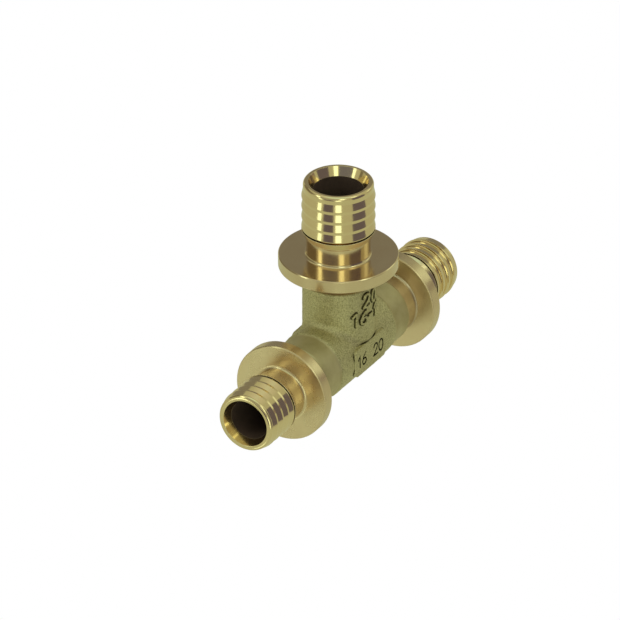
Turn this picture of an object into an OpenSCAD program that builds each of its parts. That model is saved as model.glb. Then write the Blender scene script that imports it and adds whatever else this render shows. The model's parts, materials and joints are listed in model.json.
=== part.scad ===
// Reducing tee for plastic pipe, of the kind whose pipe end is widened, pushed
// over a ribbed spigot and held there by a sleeve that slides up to a collar.
// The run lies along X, the branch stands along +Z, and the origin is the point
// where the two axes cross. Lengths along an arm are measured from that point.

/* [Run arms] */
// Radius of the waterway through the run
run_bore_r = 4.7; // [4.2:0.1:4.8]
// Radius over the tips of the ribs on a run spigot
run_rib_r = 7.2; // [7.0:0.1:7.6]
// Radius of a run collar
run_collar_r = 11.5; // [10:0.5:13]
// Distance from the centre to the outer face of a run collar
run_face = 25.5; // [24.5:0.5:30]
// Distance from a run collar's outer face to the mouth of its spigot
run_reach = 16; // [15.5:0.5:20]

/* [Branch arm] */
// Radius of the waterway in the branch
branch_bore_r = 5.7; // [5.2:0.1:5.8]
// Radius over the tips of the ribs on the branch spigot
branch_rib_r = 8.3; // [8.1:0.1:8.7]
// Radius of the branch collar
branch_collar_r = 13.5; // [11:0.5:15]
// Distance from the centre to the outer face of the branch collar
branch_face = 23.5; // [22.5:0.5:28]
// Distance from the branch collar's outer face to the mouth of its spigot
branch_reach = 18.4; // [17.8:0.2:22]

/* [Collars] */
// Thickness of each collar
collar_t = 3; // [2:0.1:3.4]
// Width of the small bevel on a collar's two rims
rim_bevel = 0.2; // [0.1:0.05:0.4]
// Radius of the fillet where a neck or a waist meets its collar
foot_fillet = 0.7; // [0.4:0.1:0.8]

/* [Spigots] */
// Number of ribs on each spigot
ribs = 4; // [3:1:4]
// Depth of the valleys between ribs
rib_depth = 0.35; // [0.2:0.05:0.4]
// Width of the gap between the last rib and the lip of the neck
seam = 0.45; // [0.25:0.05:0.6]

/* [Body] */
// Radius of the run barrel and of the branch barrel
barrel_r = 8.1; // [8:0.1:8.3]
// Radius of the turned ends of the run barrel
turned_r = 7.8; // [7.5:0.1:7.9]
// Distance from the branch axis to the end of the forged part of the run barrel
forged_x = 12; // [11:0.5:14]
// Length of the waist between the run barrel and a collar
run_waist = 4.2; // [3:0.1:4.5]
// Length of the waist between the branch barrel and its collar
branch_waist = 3.5; // [3:0.1:4.5]
// Width of the flat pad on each side of the run barrel
pad_w = 13.6; // [10:0.2:14]
// Height of that pad
pad_h = 6.9; // [5:0.1:8]
// Distance from the run axis to the face of a pad
pad_y = 8.4; // [8.35:0.05:9]

/* [Hidden] */
$fn = 96;
ARC_STEPS = 6;

BRASS_RAW = [0.56, 0.54, 0.32];
BRASS_TURNED = [0.62, 0.51, 0.26];
BRASS_RIBBED = [0.68, 0.63, 0.36];

shank_wall = 0.8;        // wall of the shank that passes through a collar
socket_depth = 5;        // how far a shank goes into the body
neck_step = 1.1;         // from the rib tips in to the neck
rib_flat = 0.2;          // cylindrical tip of each rib
rib_back = 0.75;         // length of the groove and the step up to the next rib
rib_rise = 0.12;         // length of that step alone
nose_drop = 0.8;         // from the last groove in to the flat ring round the mouth
nose_share = 0.041;      // length of the nose as a share of the reach
bevel_share = 0.19;      // radial width of the mouth's bevel as a share of the bore
bevel_len = 2.1;         // length of that bevel along the arm
lip_flat = 0.15;         // cylindrical edge of the neck's lip
lip_slope = 1.4;         // length of the slope from the lip down to the bead
bead_h = 0.5;            // small bead between that slope and the neck
bead_flat = 0.25;        // length of the bead's cylindrical top
shoulder = 0.45;         // bevel at the end of a barrel
turned_rise = 0.6;       // length of the slope from a turned end up to the forged barrel
waist_step = 1.05;       // from a barrel in to its waist
pad_corner = 1.5;

// An arm is [bore, rib tips, collar radius, collar face, reach, last rib, pitch]
run_arm = [run_bore_r, run_rib_r, run_collar_r, run_face, run_reach,
    run_face + 6.4, (run_reach - 6.4) / ribs];
branch_arm = [branch_bore_r, branch_rib_r, branch_collar_r, branch_face,
    branch_reach, branch_face + 6.95, (branch_reach - 8) / ribs];

function bore_r(arm) = arm[0];
function rib_r(arm) = arm[1];
function collar_r(arm) = arm[2];
function face(arm) = arm[3];
function mouth(arm) = arm[3] + arm[4];
function waist(arm) = arm == branch_arm ? branch_waist : run_waist;
function nose_len(arm) = arm[4] * nose_share;
function last_rib(arm) = arm[5];
function pitch(arm) = arm[6];
function back(arm) = face(arm) - collar_t;
function neck_r(arm) = rib_r(arm) - neck_step;
function shank_r(arm) = bore_r(arm) + shank_wall;
function shank_end(arm) = back(arm) - socket_depth;
function lip(arm) = last_rib(arm) - seam;
function waist_r() = barrel_r - waist_step;

// Points of an oval arc about [r, s], from angle a0 to angle a1
function arc(r, s, radius_r, radius_s, a0, a1) = [for (i = [0 : ARC_STEPS])
    let (a = a0 + (a1 - a0) * i / ARC_STEPS)
    [r + radius_r * cos(a), s + radius_s * sin(a)]];

// One rib: a flat tip, a long slope towards the mouth, a cylindrical groove and the foot of
// the steep step that climbs to the next tip
function rib(arm, i) = let (s = last_rib(arm) + i * pitch(arm))
    [[rib_r(arm), s], [rib_r(arm), s + rib_flat],
        [rib_r(arm) - rib_depth, s + pitch(arm) - rib_back],
        [rib_r(arm) - rib_depth, s + pitch(arm) - rib_rise]];

// The groove of the rib next to the mouth runs on into the nose
function rib_line(arm) = [for (i = [0 : ribs - 1]) let (p = rib(arm, i))
    each i < ribs - 1 ? p : [p[0], p[1], p[2]]];

// An arm is turned about Z and then laid to the left or to the right
module on_left() { rotate([0, -90, 0]) children(); }
module on_right() { rotate([0, 90, 0]) children(); }

// Barrel, waist and flared foot of one arm of the body, whose barrel is bare to s_bare and is
// turned down to end_r beyond it
module arm_blank(arm, s_bare, end_r) {
    s_end = back(arm);
    s_waist = s_end - waist(arm);
    rotate_extrude() polygon(concat(
        [[0, 0], [barrel_r, 0], [barrel_r, s_bare - turned_rise], [end_r, s_bare],
            [end_r, s_waist - shoulder], [end_r - shoulder, s_waist], [waist_r(), s_waist]],
        arc(waist_r() + foot_fillet, s_end - foot_fillet, foot_fillet, foot_fillet,
            180, 90),
        [[0, s_end]]));
}

// Waterway of one arm, with the wider socket that holds the spigot's shank
module arm_bore(arm) {
    cylinder(r = bore_r(arm), h = back(arm) + 1);
    translate([0, 0, shank_end(arm)]) cylinder(r = shank_r(arm), h = socket_depth + 1);
}

// Flat pads with rounded corners, on both sides of the run barrel
module pads() {
    rotate([90, 0, 0]) linear_extrude(2 * pad_y, center = true) {
        square([pad_w, pad_h - 2 * pad_corner], center = true);
        square([pad_w - 2 * pad_corner, pad_h], center = true);
        for (x = [-1, 1], z = [-1, 1])
            translate([x * (pad_w / 2 - pad_corner), z * (pad_h / 2 - pad_corner)])
                circle(pad_corner);
    }
}

// Forged body: run barrel, branch barrel, two pads and the waterway
module tee_body() {
    color(BRASS_RAW) difference() {
        union() {
            on_left() arm_blank(run_arm, forged_x, turned_r);
            on_right() arm_blank(run_arm, forged_x, turned_r);
            arm_blank(branch_arm, forged_x, barrel_r);
            pads();
        }
        on_left() arm_bore(run_arm);
        on_right() arm_bore(run_arm);
        arm_bore(branch_arm);
    }
}

// Collar with its neck: the sleeve stops against the outer face
module collar(arm) {
    r_rim = collar_r(arm);
    r_neck = neck_r(arm);
    s_bead = lip(arm) - lip_flat - lip_slope;
    color(BRASS_TURNED) rotate_extrude() polygon(concat(
        [[shank_r(arm), back(arm)], [r_rim - rim_bevel, back(arm)],
            [r_rim, back(arm) + rim_bevel], [r_rim, face(arm) - rim_bevel],
            [r_rim - rim_bevel, face(arm)]],
        arc(r_neck + foot_fillet, face(arm) + foot_fillet, foot_fillet, foot_fillet,
            270, 180),
        [[r_neck, s_bead - bead_flat - bead_h], [r_neck + bead_h, s_bead - bead_flat],
            [r_neck + bead_h, s_bead], [rib_r(arm), lip(arm) - lip_flat],
            [rib_r(arm), lip(arm)], [shank_r(arm), lip(arm)]]));
}

// Ribbed spigot, with the shank that holds it in the collar and the body
module spigot(arm) {
    color(BRASS_RIBBED) rotate_extrude() polygon(concat(
        [[bore_r(arm), shank_end(arm)], [shank_r(arm), shank_end(arm)],
            [shank_r(arm), last_rib(arm)]],
        rib_line(arm),
        arc(rib_r(arm) - rib_depth - nose_drop, mouth(arm) - nose_len(arm),
            nose_drop, nose_len(arm), 0, 90),
        [[bore_r(arm) * (1 + bevel_share), mouth(arm)],
            [bore_r(arm), mouth(arm) - bevel_len]]));
}

tee_body();
on_left() collar(run_arm);  // left_collar
on_right() collar(run_arm);  // right_collar
collar(branch_arm);  // branch_collar
on_left() spigot(run_arm);  // left_spigot
on_right() spigot(run_arm);  // right_spigot
spigot(branch_arm);  // branch_spigot
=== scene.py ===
"""Looks of the brass reducing tee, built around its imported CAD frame."""

import json
import math

import bpy
import numpy as np
from mathutils import Matrix, Vector, noise


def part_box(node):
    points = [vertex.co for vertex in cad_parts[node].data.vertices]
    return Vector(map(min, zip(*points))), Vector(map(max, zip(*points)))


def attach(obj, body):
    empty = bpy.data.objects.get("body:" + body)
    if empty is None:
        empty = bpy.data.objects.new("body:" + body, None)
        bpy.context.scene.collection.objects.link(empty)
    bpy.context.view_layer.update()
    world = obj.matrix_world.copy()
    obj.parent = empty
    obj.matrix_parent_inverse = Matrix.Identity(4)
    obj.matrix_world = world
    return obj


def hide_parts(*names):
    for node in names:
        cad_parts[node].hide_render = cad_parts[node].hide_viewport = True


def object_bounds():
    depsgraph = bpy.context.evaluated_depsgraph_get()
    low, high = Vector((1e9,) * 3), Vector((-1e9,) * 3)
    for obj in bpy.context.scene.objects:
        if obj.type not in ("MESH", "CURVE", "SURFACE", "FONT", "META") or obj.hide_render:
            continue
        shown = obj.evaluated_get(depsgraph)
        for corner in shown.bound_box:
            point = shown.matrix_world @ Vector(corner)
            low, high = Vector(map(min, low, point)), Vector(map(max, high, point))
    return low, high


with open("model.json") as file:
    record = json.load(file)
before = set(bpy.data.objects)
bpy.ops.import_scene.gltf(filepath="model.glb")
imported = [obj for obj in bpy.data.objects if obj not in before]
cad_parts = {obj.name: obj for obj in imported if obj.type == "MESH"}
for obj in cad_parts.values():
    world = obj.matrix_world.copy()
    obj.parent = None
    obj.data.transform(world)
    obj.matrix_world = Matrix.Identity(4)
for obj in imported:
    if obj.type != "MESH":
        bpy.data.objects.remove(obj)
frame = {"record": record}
CAD_LOW, CAD_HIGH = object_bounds()

# Lengths below are in millimetres; MM turns them into the frame's metres.
MM = 0.001
X, Y, Z = 0, 1, 2
ARMS = {"left": (X, -1), "right": (X, 1), "branch": (Z, 1)}

COLLAR_T = 3.0            # thickness of a collar
RIM_BEVEL = 0.2           # bevel on the rims of a collar
FOOT_FILLET = 0.7         # fillet where a neck or a waist meets its collar
SEAM = 0.45               # gap between the last rib and the lip of the neck
SHANK_WALL = 0.8          # wall of the shank inside a collar
RIBS = 4
RUN_PITCH = 2.4           # distance from rib to rib
BRANCH_PITCH = 2.6
RIB_DEPTH = 0.35
RIB_FLAT = 0.2
RIB_BACK = 0.75           # groove and the step up to the next rib's tip
RIB_RISE = 0.12           # that step alone
NECK_STEP = 1.1           # from the rib tips in to the neck
NOSE_DROP = 0.8           # from the last groove in to the ring round the mouth
NOSE_SHARE = 0.041        # length of the nose over the arm's reach
BEVEL_SHARE = 0.19        # radial width of the mouth's bevel over the bore
BEVEL_LEN = 2.1
LIP_FLAT = 0.15
LIP_SLOPE = 1.4
BEAD_H = 0.5
BEAD_FLAT = 0.25
BEAD_FOOT = 0.3           # slope from the neck up to the bead
BEAD_STEP = 0.28          # height of the bead's flat top over the neck
SHOULDER = 0.45           # rounding at the end of a barrel
FORGED_X = 12.0           # where the run barrel's raw forging ends
TURNED_R = 7.8            # radius of the barrel's turned ends beyond it
TURNED_RISE = 0.6         # fillet from a turned end up to the raw forging
WAIST_STEP = 1.05         # from a barrel in to its waist
RUN_WAIST = 4.2           # length of the waist between a barrel and its collar
BRANCH_WAIST = 3.5

LATHE_STEPS = 256         # points round a turned piece
CORNER_STEPS = 4          # steps in each small rounded corner
NOSE_STEPS = 9


def mount_radius(name):
    """Radius in millimetres of a round mount in the record."""
    return next(m["dims"]["r_mm"] for m in frame["record"]["mounts"] if m["name"] == name)


def arm_sizes(arm):
    """Sizes of one arm in millimetres: distances run along it from the crossing of the axes."""
    axis, sign = ARMS[arm]

    def span(node):
        low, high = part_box(node)
        near, far = sorted((sign * low[axis] / MM, sign * high[axis] / MM))
        return near, far, high[Y] / MM

    shank_end, mouth, rib_r = span(arm + "_spigot")
    back, lip, collar_r = span(arm + "_collar")
    bore_r = mount_radius("branch_waterway" if arm == "branch" else "run_waterway")
    last_rib = lip + SEAM
    nose = (mouth - back - COLLAR_T) * NOSE_SHARE
    return {
        "axis": axis, "sign": sign, "shank_end": shank_end, "mouth": mouth, "rib_r": rib_r,
        "back": back, "face": back + COLLAR_T, "lip": lip, "collar_r": collar_r,
        "bore_r": bore_r, "shank_r": bore_r + SHANK_WALL, "last_rib": last_rib,
        "nose": nose, "pitch": BRANCH_PITCH if arm == "branch" else RUN_PITCH,
        "neck_r": rib_r - NECK_STEP,
    }


def arc(r, s, radius_r, radius_s, start, end, steps):
    """Points of an oval arc in a turned profile; angles in degrees from the radial direction."""
    angles = [math.radians(start + (end - start) * i / steps) for i in range(steps + 1)]
    return [(r + radius_r * math.cos(a), s + radius_s * math.sin(a)) for a in angles]


def rounded_profile(corners):
    """Rounds the corners of a closed profile. corners holds (r, s, rounding); the result is two
    arrays, the points and their outward normals."""
    points, normals = [], []
    count = len(corners)
    for i, (r, s, rounding) in enumerate(corners):
        here = np.array((r, s))
        before = here - np.array(corners[i - 1][:2])
        after = np.array(corners[(i + 1) % count][:2]) - here
        len_before, len_after = np.linalg.norm(before), np.linalg.norm(after)
        before, after = before / len_before, after / len_after
        turn = math.atan2(before[0] * after[1] - before[1] * after[0], before @ after)
        reach = min(rounding * abs(math.tan(turn / 2)), 0.48 * len_before, 0.48 * len_after)
        steps = CORNER_STEPS if abs(turn) > 0.3 else 2
        for k in range(steps + 1):
            a = turn * k / steps
            # a circle through both tangent points, in the frame of the incoming edge
            if abs(turn) < 1e-6:
                along, side = 0.0, 0.0
            else:
                radius = reach / math.tan(abs(turn) / 2)
                along = -reach + radius * math.sin(abs(a))
                side = math.copysign(radius * (1 - math.cos(a)), turn)
            left = np.array((-before[1], before[0]))
            points.append(here + before * along + left * side)
            heading = math.atan2(before[1], before[0]) + a
            normals.append((math.sin(heading), -math.cos(heading)))
            if abs(turn) < 1e-6:
                break
    return np.array(points), np.array(normals)


def on_arm(arm, radial, along, angles):
    """Places profile values round an arm's axis, as an array of (x, y, z)."""
    axis, sign = ARMS[arm]
    out = np.zeros(radial.shape + angles.shape + (3,))
    out[..., axis] = (sign * along)[..., None]
    first, second = [(axis + 1) % 3, (axis + 2) % 3]
    out[..., first] = radial[..., None] * np.cos(angles)
    out[..., second] = radial[..., None] * np.sin(angles)
    return out


def new_piece(name, vertices, faces, normals=None):
    """A smooth-shaded mesh object from millimetre vertices."""
    mesh = bpy.data.meshes.new(name)
    mesh.from_pydata((vertices * MM).tolist(), [], faces.tolist())
    mesh.shade_smooth()
    mesh.validate()
    if normals is not None:
        mesh.normals_split_custom_set_from_vertices(normals.tolist())
    piece = bpy.data.objects.new(name, mesh)
    bpy.context.scene.collection.objects.link(piece)
    return piece


def turned_piece(name, arm, corners):
    """A closed ring of the given profile, turned about the arm's axis."""
    points, flat_normals = rounded_profile(corners)
    angles = np.arange(LATHE_STEPS) * 2 * math.pi / LATHE_STEPS
    vertices = on_arm(arm, points[:, 0], points[:, 1], angles)
    normals = on_arm(arm, flat_normals[:, 0], flat_normals[:, 1], angles)
    rows, cols = vertices.shape[:2]
    i, j = np.meshgrid(np.arange(rows), np.arange(cols), indexing="ij")
    i2, j2 = (i + 1) % rows, (j + 1) % cols
    quad = np.stack([i * cols + j, i * cols + j2, i2 * cols + j2, i2 * cols + j], -1)
    if ARMS[arm][1] < 0:
        quad = quad[..., ::-1]
    return new_piece(name, vertices.reshape(-1, 3), quad.reshape(-1, 4), normals.reshape(-1, 3))


def spigot_profile(a):
    """Ribbed spigot with its shank, as corners (r, s, rounding)."""
    tip, low = a["rib_r"], a["rib_r"] - RIB_DEPTH
    corners = [(a["bore_r"], a["shank_end"], 0.1), (a["shank_r"], a["shank_end"], 0.1),
               (a["shank_r"], a["last_rib"], 0.05)]
    for i in range(RIBS):
        s = a["last_rib"] + i * a["pitch"]
        corners += [(tip, s, 0.04), (tip, s + RIB_FLAT, 0.3)]
        corners.append((low, s + a["pitch"] - RIB_BACK, 0.12))
        if i < RIBS - 1:
            corners.append((low, s + a["pitch"] - RIB_RISE, 0.06))
    nose = arc(low - NOSE_DROP, a["mouth"] - a["nose"], NOSE_DROP, a["nose"], 0, 90, NOSE_STEPS)
    corners += [(r, s, 2.0) for r, s in nose]
    corners += [(a["bore_r"] * (1 + BEVEL_SHARE), a["mouth"], 0.08),
                (a["bore_r"], a["mouth"] - BEVEL_LEN, 0.1)]
    return corners


def collar_profile(a):
    """Collar with its neck, bead and lip, as corners (r, s, rounding)."""
    bead = a["lip"] - LIP_FLAT - LIP_SLOPE
    neck = a["neck_r"]
    corners = [(a["shank_r"], a["back"], 0.05),
               (a["collar_r"] - RIM_BEVEL, a["back"], 0.1),
               (a["collar_r"], a["back"] + RIM_BEVEL, 0.1),
               (a["collar_r"], a["face"] - RIM_BEVEL, 0.1),
               (a["collar_r"] - RIM_BEVEL, a["face"], 0.1)]
    corners += [(r, s, 0.6) for r, s in arc(neck + FOOT_FILLET, a["face"] + FOOT_FILLET,
                                            FOOT_FILLET, FOOT_FILLET, 270, 180, 5)]
    corners += [(neck, bead - BEAD_FLAT - BEAD_FOOT, 0.08),
                (neck + BEAD_STEP, bead - BEAD_FLAT - 0.02, 0.05),
                (neck + BEAD_STEP, bead - 0.05, 0.02), (neck + BEAD_H, bead, 0.03),
                (a["rib_r"], a["lip"] - LIP_FLAT, 0.05),
                (a["rib_r"], a["lip"], 0.04), (a["shank_r"], a["lip"], 0.05)]
    return corners


# ---- Forged body, as a distance field ----

BODY_STEP = 0.16          # grid step of the body's mesh
SADDLE_FILLET = 1.6       # fillet between the two barrels
PAD_HALF_W = 6.8
PAD_HALF_H = 3.45
PAD_CORNER = 1.5
PAD_EDGE = 0.2            # rounding of a pad's outer edge
PAD_ROOT = 0.12           # fillet where a pad leaves the barrel
MARK_H = 3.2              # height of a raised or sunk numeral
MARK_W = 0.62             # width of a numeral over its height
MARK_HALF = 0.24          # half width of a stroke
CUT_HALF = 0.17           # half width of a stroke that is cut in
MARK_RISE = 0.48          # how far the barrel's numerals stand up
MARK_SINK = 0.45          # how deep the pad's numerals are cut

# Strokes of the numerals in a box one unit high
NUMERALS = {
    "0": [[(0.31 + 0.31 * math.sin(a * math.pi / 6), 0.5 + 0.5 * math.cos(a * math.pi / 6))
           for a in range(13)]],
    "1": [[(0.1, 0.75), (0.38, 1.0), (0.38, 0.0)]],
    "2": [[(0.02, 0.76), (0.12, 0.94), (0.31, 1.0), (0.52, 0.92), (0.58, 0.72), (0.46, 0.48),
           (0.0, 0.0), (0.62, 0.0)]],
    "6": [[(0.5, 1.0), (0.2, 0.72), (0.03, 0.36), (0.08, 0.12), (0.31, 0.0), (0.54, 0.1),
           (0.6, 0.32), (0.48, 0.52), (0.26, 0.56), (0.06, 0.42)]],
    "-": [[(0.12, 0.5), (0.5, 0.5)]],
}


def text_strokes(text, centre_u, base_v, height, advance):
    """Segments of a row of numerals centred on centre_u, as an array (n, 2, 2)."""
    start = centre_u - 0.5 * (advance * (len(text) - 1) + MARK_W * height)
    segments = []
    for i, letter in enumerate(text):
        for line in NUMERALS[letter]:
            at = [(start + i * advance + u * height, base_v + v * height) for u, v in line]
            segments += list(zip(at[:-1], at[1:]))
    return np.array(segments, np.float32)


def stroke_distance(u, v, segments):
    """Distance from points (u, v) to the nearest of the segments."""
    best = np.full(u.shape, 1e3, np.float32)
    for (u0, v0), (u1, v1) in segments:
        du, dv = u1 - u0, v1 - v0
        t = np.clip(((u - u0) * du + (v - v0) * dv) / (du * du + dv * dv), 0, 1)
        best = np.minimum(best, np.hypot(u - u0 - t * du, v - v0 - t * dv))
    return best


def soft_union(a, b, k):
    """Union of two solids with a round fillet of radius k where they meet."""
    return np.maximum(k, np.minimum(a, b)) - np.hypot(np.maximum(k - a, 0), np.maximum(k - b, 0))


def rounded_pair(a, b, edge):
    """Intersection of two slabs with a rounded edge."""
    p, q = a + edge, b + edge
    return np.minimum(np.maximum(p, q), 0) + np.hypot(np.maximum(p, 0), np.maximum(q, 0)) - edge


RUN, BRANCH = arm_sizes("right"), arm_sizes("branch")
BARREL_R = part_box("tee_body")[0][Z] / -MM
PAD_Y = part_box("tee_body")[1][Y] / MM
BARREL_ROWS = [text_strokes("20", 0.0, 12.7, MARK_H, 2.9),
               text_strokes("16-16", 0.0, 8.5, MARK_H, 2.3)]
BARREL_STROKES = np.concatenate(BARREL_ROWS)
PAD_STROKES = np.concatenate([text_strokes("16", -3.9, -1.4, 2.9, 2.1),
                              text_strokes("20", 3.3, -1.4, 2.9, 2.3)])


def waist_distance(radius, s, back):
    """Turned waist of an arm, with its concave foot at the collar."""
    rise = np.clip(s - (back - FOOT_FILLET), 0, FOOT_FILLET)
    flare = FOOT_FILLET - np.sqrt(np.maximum(FOOT_FILLET ** 2 - rise ** 2, 0))
    return np.maximum(radius - (BARREL_R - WAIST_STEP) - flare, s - back)


def body_distance(p):
    """Signed distance, roughly, from the body's surface; p is an array (..., 3) in millimetres."""
    x, y, z = p[..., 0], p[..., 1], p[..., 2]
    reach = np.abs(x)
    run_r, branch_r = np.hypot(y, z), np.hypot(x, y)
    run_end, branch_end = RUN["back"] - RUN_WAIST, BRANCH["back"] - BRANCH_WAIST
    turned = rounded_pair(run_r - TURNED_R, reach - run_end, SHOULDER)
    raw = rounded_pair(run_r - BARREL_R, reach - FORGED_X + 0.1, SHOULDER)
    run = soft_union(turned, raw, TURNED_RISE)
    branch = np.maximum(rounded_pair(branch_r - BARREL_R, z - branch_end, SHOULDER), -z)
    # the fillet fades out where the two barrels lie side by side
    alike = y * y / np.maximum(run_r * branch_r, 1e-3)
    body = soft_union(run, branch, SADDLE_FILLET * np.clip(1 - alike ** 2, 0.02, 1))
    body = np.minimum(body, waist_distance(run_r, reach, RUN["back"]))
    body = np.minimum(body, np.maximum(waist_distance(branch_r, z, BRANCH["back"]), -z))
    # pads
    u = np.abs(x) - PAD_HALF_W + PAD_CORNER
    v = np.abs(z) - PAD_HALF_H + PAD_CORNER
    outline = np.hypot(np.maximum(u, 0), np.maximum(v, 0)) + np.minimum(np.maximum(u, v), 0)
    pad = rounded_pair(outline - PAD_CORNER, np.abs(y) - PAD_Y, PAD_EDGE)
    body = soft_union(body, pad, PAD_ROOT)
    # numerals: raised on the branch barrel's front, sunk in the front pad
    near = (y < -3) & (z > 7.5) & (z < 17) & (branch_r < BARREL_R + 1.2)
    if near.any():
        angle = np.arctan2(x[near], -y[near])
        stroke = stroke_distance(angle * BARREL_R, z[near], BARREL_STROKES)
        mark = rounded_pair(stroke - MARK_HALF, branch_r[near] - BARREL_R - MARK_RISE, 0.08)
        body[near] = soft_union(body[near], mark, 0.1)
    near = (y < -7.4) & (reach < 7) & (np.abs(z) < 3.2)
    if near.any():
        stroke = stroke_distance(x[near], z[near], PAD_STROKES)
        cut = np.maximum(stroke - CUT_HALF, PAD_Y - MARK_SINK + y[near])
        body[near] = np.maximum(body[near], -cut)
    # waterway and sockets
    run_hole = np.minimum(run_r - RUN["bore_r"],
                          np.maximum(run_r - RUN["shank_r"], RUN["shank_end"] - reach))
    branch_hole = np.minimum(branch_r - BRANCH["bore_r"],
                             np.maximum(branch_r - BRANCH["shank_r"], BRANCH["shank_end"] - z))
    return np.maximum(body, -np.minimum(run_hole, np.maximum(branch_hole, -z)))


def slope_of(field, p, step=0.01):
    """Gradient of the distance field by small steps."""
    out = np.zeros(p.shape)
    for axis in range(3):
        shift = np.zeros(3)
        shift[axis] = step
        out[:, axis] = (field(p + shift) - field(p - shift)) / (2 * step)
    return out


def surface_mesh(field, low, high, step):
    """Quads over the zero level of a distance field, each vertex moved onto it."""
    counts = np.ceil((high - low) / step).astype(int) + 1
    axes = [(low[i] + step * np.arange(counts[i])).astype(np.float32) for i in range(3)]
    inside = np.zeros(counts, bool)
    for i, x in enumerate(axes[0]):
        plane = np.stack(np.broadcast_arrays(x, *np.meshgrid(axes[1], axes[2], indexing="ij")), -1)
        inside[i] = field(plane) < 0
    filled = sum(inside[i:counts[0] - 1 + i, j:counts[1] - 1 + j, k:counts[2] - 1 + k].astype(np.int8)
                 for i in (0, 1) for j in (0, 1) for k in (0, 1))
    mixed = (filled > 0) & (filled < 8)
    index = np.full(mixed.shape, -1)
    index[mixed] = np.arange(mixed.sum())
    vertices = low + (np.argwhere(mixed) + 0.5) * step
    faces = []
    for axis in range(3):
        u, v = (axis + 1) % 3, (axis + 2) % 3
        first = np.moveaxis(inside, axis, 0)
        starts = np.argwhere(np.moveaxis(first[:-1] != first[1:], 0, axis))
        cells = []
        for du, dv in ((1, 1), (0, 1), (0, 0), (1, 0)):
            cell = starts.copy()
            cell[:, u] -= du
            cell[:, v] -= dv
            cells.append(index[tuple(cell.T)])
        quads = np.stack(cells, -1)
        outward = inside[tuple(starts.T)]
        quads[~outward] = quads[~outward][:, ::-1]
        faces.append(quads)
    faces = np.concatenate(faces)
    for relax in range(3):
        total = np.zeros(vertices.shape)
        share = np.zeros(len(vertices))
        centre = vertices[faces].mean(1)
        for k in range(4):
            np.add.at(total, faces[:, k], centre)
            np.add.at(share, faces[:, k], 1)
        if relax:
            vertices = 0.4 * vertices + 0.6 * total / share[:, None]
        for _ in range(3):
            slope = slope_of(field, vertices)
            steep = np.maximum((slope ** 2).sum(1), 0.25)
            shift = slope * (field(vertices) / steep)[:, None]
            length = np.linalg.norm(shift, axis=1, keepdims=True)
            vertices = vertices - shift * np.minimum(1, step / np.maximum(length, 1e-9))
    return vertices, faces


SHADE_REACH = 0.4       # how near a facing wall must be to give a crevice painted shade, mm
FORGE_WAVES = [(1.1, 0.045), (0.42, 0.022)]   # (size, height) of the forging's unevenness


def forged_body():
    """Forged body with filleted barrels, pads, turned waists and raised size numerals."""
    low = np.array([-RUN["back"] - 0.5, -PAD_Y - 0.9, -BARREL_R - 0.6])
    high = np.array([RUN["back"] + 0.5, PAD_Y + 0.9, BRANCH["back"] + 0.5])
    step = BODY_STEP * 1
    vertices, faces = surface_mesh(body_distance, low, high, step)
    slope = slope_of(body_distance, vertices)
    slope /= np.maximum(np.linalg.norm(slope, axis=1, keepdims=True), 1e-9)
    run_end, branch_end = RUN["back"] - RUN_WAIST, BRANCH["back"] - BRANCH_WAIST
    run_r = np.hypot(vertices[:, 1], vertices[:, 2])
    branch_r = np.hypot(vertices[:, 0], vertices[:, 1])
    rough = ((np.abs(vertices[:, 0]) < FORGED_X + 0.1) & (vertices[:, 2] < branch_end - 0.3)
             & (run_r > RUN["bore_r"] + 1) & ((branch_r > BRANCH["bore_r"] + 1) | (vertices[:, 2] < 0)))
    # how shut in each point is, kept as painted shade for the crevices
    open_space = body_distance(vertices + slope * SHADE_REACH) / SHADE_REACH
    lift = np.zeros(len(vertices))
    for size, height in FORGE_WAVES:
        lift[rough] += [height * noise.noise(Vector(v / size)) for v in vertices[rough]]
    vertices = vertices + slope * lift[:, None]
    piece = new_piece("forged_tee_body", vertices, faces)
    # this point attribute holds painted shade, strongest in creases, fillets and cut strokes
    crevice = piece.data.attributes.new("crevice", "FLOAT", "POINT")
    crevice.data.foreach_set("value", np.clip(1 - open_space, 0, 1).astype(np.float32))
    # material 0 is the raw forging, then the turned waist of each arm, the waterway, and the
    # skimmed left and right ends of the run barrel
    centre = vertices[faces].mean(1)
    middle_run = np.hypot(centre[:, 1], centre[:, 2])
    middle_branch = np.hypot(centre[:, 0], centre[:, 1])
    which = np.zeros(len(faces), int)
    which[centre[:, 0] < -FORGED_X] = 5
    which[centre[:, 0] > FORGED_X] = 6
    which[centre[:, 0] < -run_end - 0.02] = 1
    which[centre[:, 0] > run_end + 0.02] = 2
    which[centre[:, 2] > branch_end - 0.02] = 3
    wet = np.minimum(middle_run - RUN["shank_r"],
                     np.where(centre[:, 2] > -1, middle_branch - BRANCH["shank_r"], 9))
    which[wet < 0.15] = 4
    piece.data.polygons.foreach_set("material_index", which.astype(np.int32))
    return piece


def metal(name, colour, roughness):
    """A metal material and its nodes: the shader, plus the position inside the object in
    millimetres for the procedural detail."""
    material = bpy.data.materials.new(name)
    material.use_nodes = True
    tree = material.node_tree
    shader = tree.nodes["Principled BSDF"]
    shader.inputs["Base Color"].default_value = (*colour, 1)
    shader.inputs["Metallic"].default_value = 1
    shader.inputs["Roughness"].default_value = roughness
    place = tree.nodes.new("ShaderNodeTexCoord")
    scaled = tree.nodes.new("ShaderNodeVectorMath")
    scaled.operation = "SCALE"
    scaled.inputs["Scale"].default_value = 1 / MM
    tree.links.new(place.outputs["Object"], scaled.inputs[0])
    return material, tree, shader, scaled.outputs[0]


def noise_node(tree, vector, scale, detail=3.0, roughness=0.55):
    """A noise texture; scale is in waves per millimetre."""
    node = tree.nodes.new("ShaderNodeTexNoise")
    node.inputs["Scale"].default_value = scale
    node.inputs["Detail"].default_value = detail
    node.inputs["Roughness"].default_value = roughness
    tree.links.new(vector, node.inputs["Vector"])
    return node.outputs["Fac"]


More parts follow.
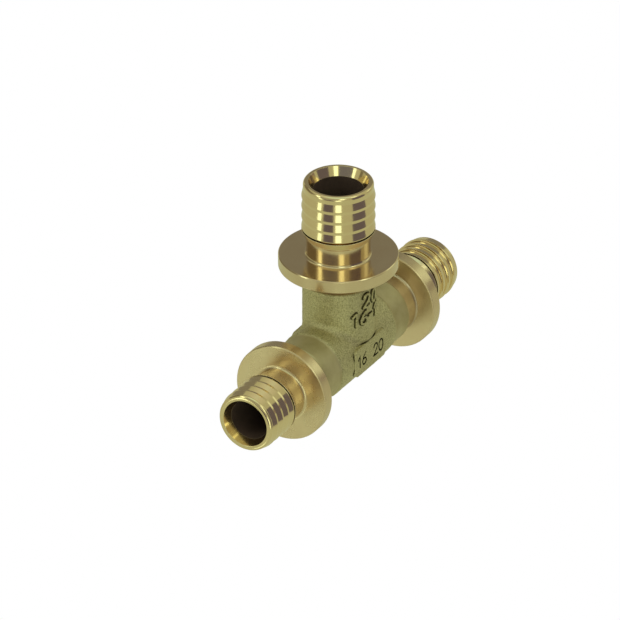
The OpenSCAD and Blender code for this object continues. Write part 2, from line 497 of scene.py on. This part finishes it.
def ramp(tree, value, low, high, start=0.3, end=0.7):
    """A colour ramp between two colours or two greys."""
    node = tree.nodes.new("ShaderNodeValToRGB")
    for element, at, shade in zip(node.color_ramp.elements, (start, end), (low, high)):
        element.position = at
        element.color = (*shade, 1) if isinstance(shade, tuple) else (shade, shade, shade, 1)
    tree.links.new(value, node.inputs["Fac"])
    return node.outputs["Color"]


def bump(tree, shader, height, depth):
    """Adds relief to the shader's normal; depth is in millimetres."""
    node = tree.nodes.new("ShaderNodeBump")
    node.inputs["Strength"].default_value = 1
    node.inputs["Distance"].default_value = depth * MM
    tree.links.new(height, node.inputs["Height"])
    if shader.inputs["Normal"].is_linked:
        tree.links.new(shader.inputs["Normal"].links[0].from_socket, node.inputs["Normal"])
    tree.links.new(node.outputs["Normal"], shader.inputs["Normal"])


def mixed(tree, factor, first, second):
    """Mixes a colour socket with another socket, or with a plain colour, by a factor socket."""
    node = tree.nodes.new("ShaderNodeMix")
    node.data_type = "RGBA"
    tree.links.new(factor, node.inputs["Factor"])
    tree.links.new(first, node.inputs[6])
    if isinstance(second, tuple):
        node.inputs[7].default_value = (*second, 1)
    else:
        tree.links.new(second, node.inputs[7])
    return node.outputs[2]


def within(tree, value, low, high):
    """1 below low and 0 above high."""
    node = tree.nodes.new("ShaderNodeMapRange")
    node.inputs["From Min"].default_value = low
    node.inputs["From Max"].default_value = high
    node.inputs["To Min"].default_value = 1
    node.inputs["To Max"].default_value = 0
    tree.links.new(value, node.inputs["Value"])
    return node.outputs[0]


def turned_metal(name, arm, colour, worn, roughness, brushed_back=False):
    """Turned brass: fine rings round the arm's axis, a little dulling and a faint colour change;
    the bore is left duller and painted a dark brown shade, and a collar's back is left duller if it is
    brushed."""
    material, tree, shader, place = metal(name, colour, roughness)
    axis = ARMS[arm][0]
    split = tree.nodes.new("ShaderNodeSeparateXYZ")
    tree.links.new(place, split.inputs[0])
    across = tree.nodes.new("ShaderNodeVectorMath")
    across.operation = "MULTIPLY"
    across.inputs[1].default_value = [0 if i == axis else 1 for i in range(3)]
    tree.links.new(place, across.inputs[0])
    length = tree.nodes.new("ShaderNodeVectorMath")
    length.operation = "LENGTH"
    tree.links.new(across.outputs[0], length.inputs[0])
    rings = tree.nodes.new("ShaderNodeCombineXYZ")
    tree.links.new(split.outputs[axis], rings.inputs["X"])
    tree.links.new(length.outputs["Value"], rings.inputs["Y"])
    fine = noise_node(tree, rings.outputs[0], 3, 3)
    bump(tree, shader, fine, RING_DEPTH)
    patches = noise_node(tree, place, 0.22, 4)
    bore_r = arm_sizes(arm)["bore_r"]
    bored = within(tree, length.outputs["Value"], bore_r + 0.02, bore_r + 0.05)
    # the bore gets dark brown painted shade, in patches
    bore_shade = ramp(tree, patches, BORE_SHADE_COLOUR, BORE_SHADE_DARK)
    clean = ramp(tree, patches, colour, worn)
    tree.links.new(mixed(tree, bored, clean, bore_shade), shader.inputs["Base Color"])
    dull = noise_node(tree, place, 0.3, 2)
    polished = ramp(tree, dull, roughness * 0.9, roughness * 1.2)
    if brushed_back:
        back = arm_sizes(arm)["back"] + RIM_BEVEL
        along = tree.nodes.new("ShaderNodeMath")
        along.operation = "MULTIPLY"
        along.inputs[1].default_value = ARMS[arm][1]
        tree.links.new(split.outputs[axis], along.inputs[0])
        behind = within(tree, along.outputs[0], back, back + 0.2)
        polished = mixed(tree, behind, polished, ramp(tree, dull, 0.3, 0.4))
    bore_dullness = ramp(tree, dull, 0.45, 0.6)
    tree.links.new(mixed(tree, bored, polished, bore_dullness), shader.inputs["Roughness"])
    tree.links.new(within(tree, bored, 0, 1), shader.inputs["Metallic"])
    return material


def bored_metal(name):
    """Dull non-metal of the waterway, in patches of dark brown painted shade."""
    material, tree, shader, place = metal(name, BORE_SHADE_COLOUR, 0.5)
    shader.inputs["Metallic"].default_value = 0
    patches = noise_node(tree, place, 0.5, 4)
    # patches of dark brown painted shade
    tree.links.new(ramp(tree, patches, BORE_SHADE_COLOUR, BORE_SHADE_DARK), shader.inputs["Base Color"])
    tree.links.new(ramp(tree, patches, 0.45, 0.62), shader.inputs["Roughness"])
    bump(tree, shader, noise_node(tree, place, 4, 2), 0.004)
    return material


def forged_metal(name):
    """Raw forged brass: dull, grainy and olive, darker in its pits, with painted shade in its crevices.
    """
    material, tree, shader, place = metal(name, FORGED_COLOUR, 0.45)
    grain = noise_node(tree, place, 3.2, 4, 0.7)
    swell = noise_node(tree, place, 0.5, 3)
    bump(tree, shader, swell, FORGE_SWELL)
    bump(tree, shader, grain, FORGE_GRAIN)
    pits = ramp(tree, grain, FORGED_DARK, FORGED_COLOUR, 0.3, 0.6)
    # crevices get painted shade from the point attribute
    crevice = tree.nodes.new("ShaderNodeAttribute")
    crevice.attribute_name = "crevice"
    shadowed = ramp(tree, crevice.outputs["Fac"], 0.0, 1.0, 0.12, 0.5)
    tree.links.new(mixed(tree, shadowed, pits, CREVICE_SHADE_COLOUR), shader.inputs["Base Color"])
    tree.links.new(ramp(tree, swell, 0.68, 0.58), shader.inputs["Roughness"])
    return material


RING_DEPTH = 0.0013       # depth of the turning rings
FORGE_GRAIN = 0.04        # depth of the forging's grain
FORGE_SWELL = 0.1         # and of its broader unevenness
# dark brown painted shade for the bore
BORE_SHADE_COLOUR = (0.11, 0.072, 0.068)
BORE_SHADE_DARK = (0.065, 0.043, 0.041)
TURNED_COLOUR = (0.78, 0.64, 0.43)
TURNED_WORN = (0.74, 0.59, 0.39)
RIB_COLOUR = (0.86, 0.71, 0.44)
RIB_WORN = (0.82, 0.67, 0.41)
SKIM_COLOUR = (0.66, 0.59, 0.39)
SKIM_WORN = (0.54, 0.47, 0.28)
WAIST_COLOUR = (0.68, 0.57, 0.42)
WAIST_WORN = (0.56, 0.46, 0.34)
FORGED_COLOUR = (0.75, 0.70, 0.45)
FORGED_DARK = (0.37, 0.335, 0.19)
# painted shade for crevices and recesses
CREVICE_SHADE_COLOUR = (0.06, 0.05, 0.02)


def add(piece, node, slot, *materials):
    """Hangs a piece on the body and lets it stand for its CAD node."""
    for material in materials:
        piece.data.materials.append(material)
    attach(piece, "root")
    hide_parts(node)


skims = [turned_metal("skimmed " + arm, arm, SKIM_COLOUR, SKIM_WORN, 0.58)
         for arm in ("left", "right")]
waists = [turned_metal("waist " + arm, arm, WAIST_COLOUR, WAIST_WORN, 0.34) for arm in ARMS]
add(forged_body(), "tee_body", "forged_brass", forged_metal("forged brass"), *waists,
    bored_metal("bored waterway"), *skims)
for arm in ARMS:
    sizes = arm_sizes(arm)
    add(turned_piece("ribbed_spigot_" + arm, arm, spigot_profile(sizes)), arm + "_spigot",
        "ribbed_brass", turned_metal("ribbed brass " + arm, arm, RIB_COLOUR, RIB_WORN, 0.12))
    add(turned_piece("stop_collar_" + arm, arm, collar_profile(sizes)), arm + "_collar",
        "turned_brass", turned_metal("turned brass " + arm, arm, TURNED_COLOUR, TURNED_WORN,
                                     0.14 if arm == "branch" else 0.26, brushed_back=True))

# ---- Camera: parallel view at the azimuth and elevation of a product picture ----

AZIMUTH, ELEVATION = math.radians(-59.83), math.radians(29.86)
VIEW_WIDTH = 138.4
LOOK_RIGHT, LOOK_UP = -6.35, 7.52
back_vector = Vector((math.sin(AZIMUTH) * math.cos(ELEVATION),
                      -math.cos(AZIMUTH) * math.cos(ELEVATION), math.sin(ELEVATION)))
right_vector = Vector((math.cos(AZIMUTH), math.sin(AZIMUTH), 0))
up_vector = back_vector.cross(right_vector)
camera = bpy.data.objects.new("camera", bpy.data.cameras.new("camera"))
bpy.context.scene.collection.objects.link(camera)
camera.data.type = "ORTHO"
camera.data.ortho_scale = VIEW_WIDTH * MM
camera.data.clip_start, camera.data.clip_end = 0.01, 10
camera.location = (right_vector * LOOK_RIGHT + up_vector * LOOK_UP + back_vector * 300) * MM
camera.rotation_mode = "QUATERNION"
camera.rotation_quaternion = (-back_vector).to_track_quat("-Z", "Y")
bpy.context.scene.camera = camera

# ---- Studio: a pale sky and floor, with strip lights and dark cards that the brass reflects ----

STUDIO_R = 500            # distance of the lights and cards, mm
# Directions are (azimuth about Z from +X, elevation) in degrees. Each panel is (start, end,
# width), and each strip has its brightness too
STRIPS = {"left_strip": ((152, -22), (152, 2), 12, 1),
          "right_strip": ((210, -22), (210, 2), 17, 1),
          "left_upper_strip": ((147, 20), (127, 50), 11, 1.1),
          "right_upper_strip": ((218, 20), (229, 50), 14, 1),
          "side_light": ((327, 17), (327, 37), 18, 0.32),
          "top_light": ((277, 50), (277, 62), 14, 1),
          "low_light": ((163, -48), (163, -38), 14, 0.8)}
STRIP_COLOUR = (0.84, 1.0, 0.70)
STRIP_LEVEL = 1.3
CARDS = {"gap_card": ((180, -22), (180, 2), 30), "side_card": ((277, -22), (273, 37), 46),
         "gap_upper_card": ((180, 22), (180, 36), 50),
         "far_card": ((28, 4), (28, 46), 66), "left_card": ((95, 10), (95, 44), 50),
         "front_card": ((321, 3), (321, 14), 20)}
CARD_SHADES = {"gap_card": (0.125, 0.105, 0.13), "side_card": (0.14, 0.12, 0.14),
               "gap_upper_card": (0.17, 0.17, 0.2),
               "far_card": (0.24, 0.23, 0.18),
               "left_card": (0.19, 0.17, 0.11),
               "front_card": (0.24, 0.19, 0.16)}
SKY_SHADE = (0.476, 0.485, 0.31)
UPPER_SHADE = (0.60, 0.59, 0.42)
ZENITH_SHADE = (0.66, 0.88, 0.66)
FLOOR_SHADE = (0.50, 0.53, 0.34)


def direction(azimuth, elevation):
    """Unit vector towards an azimuth and an elevation in degrees."""
    a, e = math.radians(azimuth), math.radians(elevation)
    return Vector((math.cos(a) * math.cos(e), math.sin(a) * math.cos(e), math.sin(e)))


def hang(thing, start, end, radius):
    """Places a panel facing the origin, its Y axis running between two directions; returns its
    length in millimetres."""
    low, high = direction(*start), direction(*end)
    middle = (low + high).normalized()
    along = (high - low)
    along = (along - middle * along.dot(middle)).normalized()
    side = along.cross(middle)
    thing.matrix_world = Matrix((side, along, middle)).transposed().to_4x4()
    thing.location = middle * radius * MM
    return 2 * radius * math.tan(low.angle(high) / 2)


def glowing(name, shade):
    """A plain emission material, and its emission node."""
    material = bpy.data.materials.new(name)
    material.use_nodes = True
    nodes = material.node_tree.nodes
    nodes.remove(nodes["Principled BSDF"])
    glow = nodes.new("ShaderNodeEmission")
    glow.inputs["Color"].default_value = (*shade, 1)
    material.node_tree.links.new(glow.outputs[0], nodes["Material Output"].inputs[0])
    return material, glow


def stage_sheet(name, corners, material):
    """A flat sheet of the studio, which isn't part of the object."""
    mesh = bpy.data.meshes.new(name)
    mesh.from_pydata(corners, [], [(0, 1, 2, 3)])
    mesh.materials.append(material)
    sheet = bpy.data.objects.new(name, mesh)
    bpy.context.scene.collection.objects.link(sheet)
    return sheet


for name, (start, end, width, level) in STRIPS.items():
    light = bpy.data.lights.new(name, "AREA")
    lamp = bpy.data.objects.new(name, light)
    bpy.context.scene.collection.objects.link(lamp)
    light.shape = "RECTANGLE"
    light.size_y = hang(lamp, start, end, STUDIO_R) * MM
    light.size = 2 * STUDIO_R * MM * math.tan(math.radians(width / 2))
    light.color = STRIP_COLOUR
    light.energy = STRIP_LEVEL * level * math.pi * light.size * light.size_y
    lamp.visible_camera = False

CARD_R = STUDIO_R + 60
for name, (start, end, width) in CARDS.items():
    half_w = CARD_R * MM * math.tan(math.radians(width / 2))
    half_h = CARD_R * MM * math.tan(direction(*start).angle(direction(*end)) / 2)
    corners = [(-half_w, -half_h, 0), (half_w, -half_h, 0), (half_w, half_h, 0),
               (-half_w, half_h, 0)]
    card = stage_sheet(name, corners, glowing(name, CARD_SHADES[name])[0])
    hang(card, start, end, CARD_R)
    card.visible_camera = False

# A plain white floor under the lowest collars, which the brass doesn't reflect. Its underside
# is clear, so that the fitting can be looked at from below
FLOOR_HALF = 3000
floor_z = CAD_LOW[Z] - 0.01 * MM
corners = [(x * FLOOR_HALF * MM, y * FLOOR_HALF * MM, floor_z)
           for x, y in ((-1, -1), (1, -1), (1, 1), (-1, 1))]
material, glow = glowing("floor", (1, 1, 1))
tree = material.node_tree
sides = tree.nodes.new("ShaderNodeNewGeometry")
clear = tree.nodes.new("ShaderNodeBsdfTransparent")
either = tree.nodes.new("ShaderNodeMixShader")
tree.links.new(sides.outputs["Backfacing"], either.inputs["Fac"])
tree.links.new(glow.outputs[0], either.inputs[1])
tree.links.new(clear.outputs[0], either.inputs[2])
tree.links.new(either.outputs[0], tree.nodes["Material Output"].inputs[0])
floor = stage_sheet("floor", corners, material)
floor.visible_diffuse = False
floor.visible_glossy = False
floor.visible_shadow = False

# The sky goes from the floor's shade up to the zenith's; the camera sees plain white instead
world = bpy.data.worlds.new("studio")
bpy.context.scene.world = world
world.use_nodes = True
tree = world.node_tree
place = tree.nodes.new("ShaderNodeTexCoord")
split = tree.nodes.new("ShaderNodeSeparateXYZ")
tree.links.new(place.outputs["Generated"], split.inputs[0])
fade = tree.nodes.new("ShaderNodeValToRGB")
height = tree.nodes.new("ShaderNodeMapRange")
height.inputs["From Min"].default_value = -1
tree.links.new(split.outputs["Z"], height.inputs["Value"])
for at in (0.4, 0.6, 0.8):
    fade.color_ramp.elements.new(at)
tones = (FLOOR_SHADE, SKY_SHADE, SKY_SHADE, UPPER_SHADE, ZENITH_SHADE)
for element, at, tone in zip(fade.color_ramp.elements, (0.26, 0.32, 0.88, 0.955, 0.985), tones):
    element.position = at
    element.color = (*tone, 1)
tree.links.new(height.outputs[0], fade.inputs["Fac"])
shade = fade.outputs["Color"]
path = tree.nodes.new("ShaderNodeLightPath")
seen = tree.nodes.new("ShaderNodeMix")
seen.data_type = "RGBA"
tree.links.new(path.outputs["Is Camera Ray"], seen.inputs["Factor"])
tree.links.new(shade, seen.inputs[6])
seen.inputs[7].default_value = (1, 1, 1, 1)
tree.links.new(seen.outputs[2], tree.nodes["Background"].inputs["Color"])
bpy.context.scene.view_settings.view_transform = "Standard"
